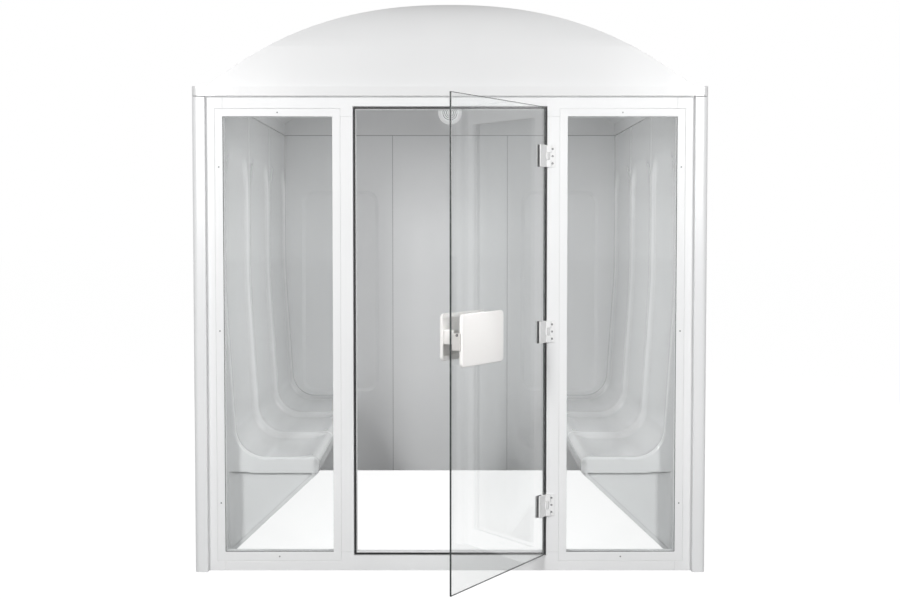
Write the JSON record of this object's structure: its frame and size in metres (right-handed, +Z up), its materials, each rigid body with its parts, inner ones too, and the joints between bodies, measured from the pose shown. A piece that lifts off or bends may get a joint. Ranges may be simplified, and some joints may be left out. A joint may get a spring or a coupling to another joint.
{
  "type": "steam shower cabin",
  "caption": "Walk-in steam shower cabin with moulded bench walls, a glazed front, a hinged glass door with plate handles, a vaulted roof and a roof light.",
  "frame": {"origin": "middle of the front sill's underside, on the floor, half way through the depth of the front frame", "axes": "+X to the right seen from outside the door, +Y into the cabin, +Z up"},
  "size_m": [2.195, 3.4019, 2.398],
  "materials": {
    "frame_white": "white powder coat on extrusion",
    "shell_white": "smooth white sheet",
    "acrylic_white": "glossy moulded acrylic",
    "roof_white": "glossy moulded acrylic",
    "clear_glass": "clear toughened glass",
    "seal": "soft black profile",
    "hinge_white": "white coated metal",
    "handle_white": "warm white moulding",
    "fitting_white": "white moulding",
    "lens_glass": "ribbed clear glass",
    "lamp_glass": "frosted bulb",
    "pipe_brass": "plain brass tube"
  },
  "bodies": {
    "cabin": {"back_joint_seals": "seal", "back_outer_cover": "shell_white", "centre_back_panel": "acrylic_white", "door_seal_ends": "seal", "door_seal_sides": "seal", "frame_head": "frame_white", "frame_sill": "frame_white", "hinge_jamb_leaves": "hinge_white", "left_back_panel": "acrylic_white", "left_bench_end": "acrylic_white", "left_bench_skirt": "acrylic_white", "left_corner_post": "shell_white", "left_frame_stile": "frame_white", "left_front_bench": "acrylic_white", "left_front_return": "acrylic_white", "left_middle_bench": "acrylic_white", "left_mullion": "frame_white", "left_outer_cover": "shell_white", "left_rear_bench": "acrylic_white", "left_window_beads": "frame_white", "left_window_glass": "clear_glass", "light_housing": "fitting_white", "light_lamp": "lamp_glass", "light_lens": "lens_glass", "rear_corner_posts": "shell_white", "right_back_panel": "acrylic_white", "right_bench_end": "acrylic_white", "right_bench_skirt": "acrylic_white", "right_corner_post": "shell_white", "right_frame_stile": "frame_white", "right_front_bench": "acrylic_white", "right_front_return": "acrylic_white", "right_middle_bench": "acrylic_white", "right_mullion": "frame_white", "right_outer_cover": "shell_white", "right_rear_bench": "acrylic_white", "right_window_beads": "frame_white", "right_window_glass": "clear_glass", "roof_dome": "roof_white", "roof_seal": "seal", "steam_head": "fitting_white", "steam_pipe": "pipe_brass", "window_gaskets": "seal"},
    "door": {"door_glass": "clear_glass", "door_handle_outer": "handle_white", "door_handle_inner": "handle_white", "handle_blocks": "handle_white", "hinge_outer_clamps": "hinge_white", "hinge_inner_clamps": "hinge_white", "hinge_pads": "seal"}
  },
  "joints": [
    {"name": "door_swing", "type": "hinge", "parent": "cabin", "child": "door", "pos_m": [0.41, -0.038, 0], "axis": [0, 0, 1], "range_deg": [-60.8, 45]}
  ]
}
